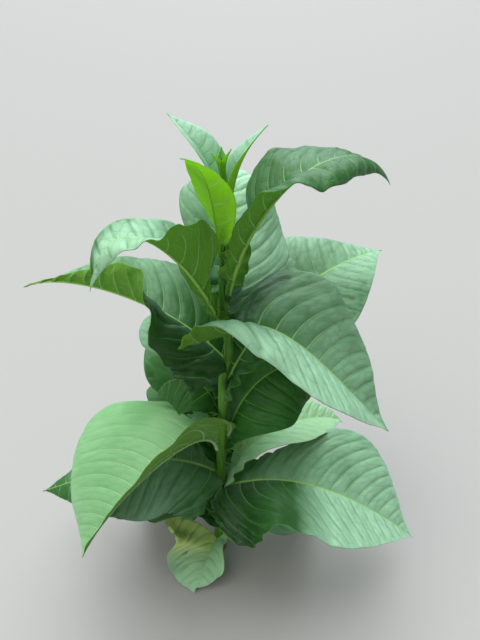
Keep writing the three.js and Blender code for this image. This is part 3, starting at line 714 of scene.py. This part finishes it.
# the evaluated mesh, modifiers and all, becomes the piece's own
def settle(piece):
    scene.view_layers[0].update()
    graph = bpy.context.evaluated_depsgraph_get()
    final = bpy.data.meshes.new_from_object(piece.evaluated_get(graph))
    piece.modifiers.clear()
    piece.vertex_groups.clear()
    piece.data = final
    for polygon in final.polygons:
        polygon.use_smooth = True
    return piece


# the blade's thickness in millimetres, the rib's depth as a share of its half width, the width from which a
# leaf has the relief's full size, and how far each seed shifts the relief's noise, in metres
shell = {"blade": 1.1, "ribDepth": 1.6, "fullWidth": 260, "seedStep": 1.7}


def growLeaf(name, leaf, seed):
    grids, rib, length = bladeGrid(leaf)
    mesh = gridMesh(name, *grids, leafValue(leaf, "holes"), length)
    kind = leafValue(leaf, "kind")
    mesh.materials.append(tops[kind])
    mesh.materials.append(unders[kind])
    piece = bpy.data.objects.new(name, mesh)
    scene.collection.objects.link(piece)
    bumps = piece.modifiers.new("relief", "NODES")
    bumps.node_group = relief
    size = min(leaf["width"] / shell["fullWidth"], 1) * leafValue(leaf, "relief")
    for label, value in reliefSizes.items():
        setInput(bumps, label, value * size)
    setInput(bumps, "ruffle", reliefSizes["ruffle"] * size * leafValue(leaf, "frill"))
    setInput(bumps, "seed", seed * shell["seedStep"])
    setInput(bumps, "finish", tops[kind])
    metric = grids[2]
    away = np.abs(metric[..., 0]) * 1000
    ribHere = np.repeat(rib[:, None], away.shape[1], 1)
    depth = shell["blade"] + shell["ribDepth"] * ribHere * np.sqrt(np.clip(1 - (away / ribHere) ** 2, 0, 1))
    deepest = depth.max()
    group = piece.vertex_groups.new(name="depth")
    for index, value in enumerate((depth / deepest).reshape(-1)):
        group.add([index], float(value), "REPLACE")
    wall = piece.modifiers.new("shell", "SOLIDIFY")
    wall.thickness = deepest / 1000
    wall.offset = -1
    wall.vertex_group = "depth"
    wall.thickness_vertex_group = 0
    wall.use_quality_normals = True
    wall.material_offset = 1
    wall.material_offset_rim = 1
    return settle(piece)


triangles = 0
for seed, (name, leaf) in enumerate(leaves.items()):
    piece = growLeaf(name.replace("leaf_", "blade_"), leaf, seed)
    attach(piece, "root")
    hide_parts(name)
    triangles += sum(len(polygon.vertices) - 2 for polygon in piece.data.polygons)
print("leaves grown:", len(leaves), "with", triangles, "triangles")


# the stem, with a swelling at each node, a pair of ridges down from each leaf's foot and faint ribs all round
def growStem():
    height = stem["turns"][-1][0]
    rings = int(height / stem["step"]) + 1
    z = np.linspace(0, height, rings)
    angle = np.linspace(0, 2 * math.pi, stem["sides"], endpoint=False)
    radius = np.repeat(stemRadius(z)[:, None], stem["sides"], 1)
    taper = np.minimum(radius / stem["fullRadius"], 1)
    for leaf in leaves.values():
        far = z - leaf["node"]
        heading = math.radians(leaf["heading"])
        facing = np.clip(np.cos(angle - heading), 0, 1)[None, :]
        ring = np.exp(-((far / stem["swellingRun"]) ** 2))[:, None]
        swelling = stem["swelling"] * (stem["swellingRound"] + stem["swellingFront"] * facing)
        radius = radius + ring * swelling * taper
        below = np.exp(-np.clip(-far, 0, stem["ridgeEnd"]) / stem["ridgeRun"])[:, None] * (far < 0)[:, None]
        for turn in stem["ridgeTurns"]:
            aside = np.angle(np.exp(1j * (angle - heading - turn)))
            ridge = np.exp(-(aside / stem["ridgeWidth"]) ** 2)[None, :]
            radius = radius + ridge * below * stem["ridge"] * taper
    radius = radius + stem["ribs"] * taper * np.sin(angle * stem["ribCount"] + stem["ribStart"])[None, :]
    circle = np.stack([np.cos(angle), np.sin(angle), angle * 0], -1)[None]
    points = stemCentre(z)[:, None] + radius[..., None] * circle
    index = np.arange(rings * stem["sides"]).reshape(rings, stem["sides"])
    after = np.roll(index, -1, 1)
    quads = np.stack([index[:-1], after[:-1], after[1:], index[1:]], -1).reshape(-1, 4).tolist()
    caps = [index[0][::-1].tolist(), index[-1].tolist()]
    mesh = bpy.data.meshes.new("stalk")
    mesh.from_pydata((points / 1000).reshape(-1, 3).tolist(), [], quads + caps)
    mesh.materials.append(stemSkin)
    for polygon in mesh.polygons:
        polygon.use_smooth = len(polygon.vertices) == 4  # the caps stay flat
    piece = bpy.data.objects.new("stalk", mesh)
    scene.collection.objects.link(piece)
    return piece


stalk = growStem()
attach(stalk, "root")
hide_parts("stem")
print("stem grown")

# the folded bud leaves at the stem's tip, which have no solids of their own
budLeaves = [
    dict(node=1118, heading=-20, rise=86, fall=60, reach=14, tip=1180, width=22),
    dict(node=1130, heading=200, rise=86, fall=50, reach=16, tip=1174, width=20),
    dict(node=1140, heading=95, rise=86, fall=60, reach=12, tip=1178, width=18),
]
budUsual = dict(kind="young", ear=2, wave=1, widest=0.5, leftLift=(65, 50, 40), rightLift=(65, 50, 40))
firstBudSeed = 40
for number, leaf in enumerate(budLeaves):
    piece = growLeaf(f"bud_leaf_{number + 1}", {**leaf, **budUsual, "phase": number}, firstBudSeed + number)
    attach(piece, "root")
print("bud leaves grown")

# floor and light
floorLook = {"colour": (0.33, 0.322, 0.31), "roughness": 0.9, "gloss": 0.2, "size": 900.0}
floorSkin, b = newFinish("floorSkin")
floorSurface = b.node("ShaderNodeBsdfPrincipled", None, {
    "Base Color": floorLook["colour"], "Roughness": floorLook["roughness"],
    "Specular IOR Level": floorLook["gloss"]})
b.node("ShaderNodeOutputMaterial", None, {"Surface": b.out(floorSurface)})
half = floorLook["size"] / 2
corners = [(-half, -half, 0), (half, -half, 0), (half, half, 0), (-half, half, 0)]
floorMesh = bpy.data.meshes.new("floor")
floorMesh.from_pydata(corners, [], [(0, 1, 2, 3)])
floorMesh.materials.append(floorSkin)
floor = bpy.data.objects.new("floor", floorMesh)
scene.collection.objects.link(floor)

# wide soft lamps, each by the bearing and height that it shines from, in degrees
lamps = {
    "overhead": dict(bearing=95, height=70, width=66, power=3.7, colour=(0.95, 0.985, 1.0)),
    "beside": dict(bearing=205, height=46, width=60, power=1.8, colour=(1.0, 0.99, 0.96)),
    "behind": dict(bearing=88, height=32, width=50, power=1.3, colour=(0.78, 0.93, 1.0)),
}
for name, lamp in lamps.items():
    data = bpy.data.lights.new(name, "SUN")
    data.angle = math.radians(lamp["width"])
    data.energy = lamp["power"]
    data.color = lamp["colour"]
    light = bpy.data.objects.new(name, data)
    light.rotation_euler = (math.radians(90 - lamp["height"]), 0, math.radians(lamp["bearing"] + 90))
    scene.collection.objects.link(light)
studio = {"colour": (0.90, 0.95, 1.0), "strength": 0.36}  # the even light all round
world = bpy.data.worlds.new("studio")
world.use_nodes = True
background = world.node_tree.nodes["Background"]
background.inputs["Color"].default_value = (*studio["colour"], 1)
background.inputs["Strength"].default_value = studio["strength"]
scene.world = world
scene.view_settings.view_transform = "Standard"
print("floor and lights placed")
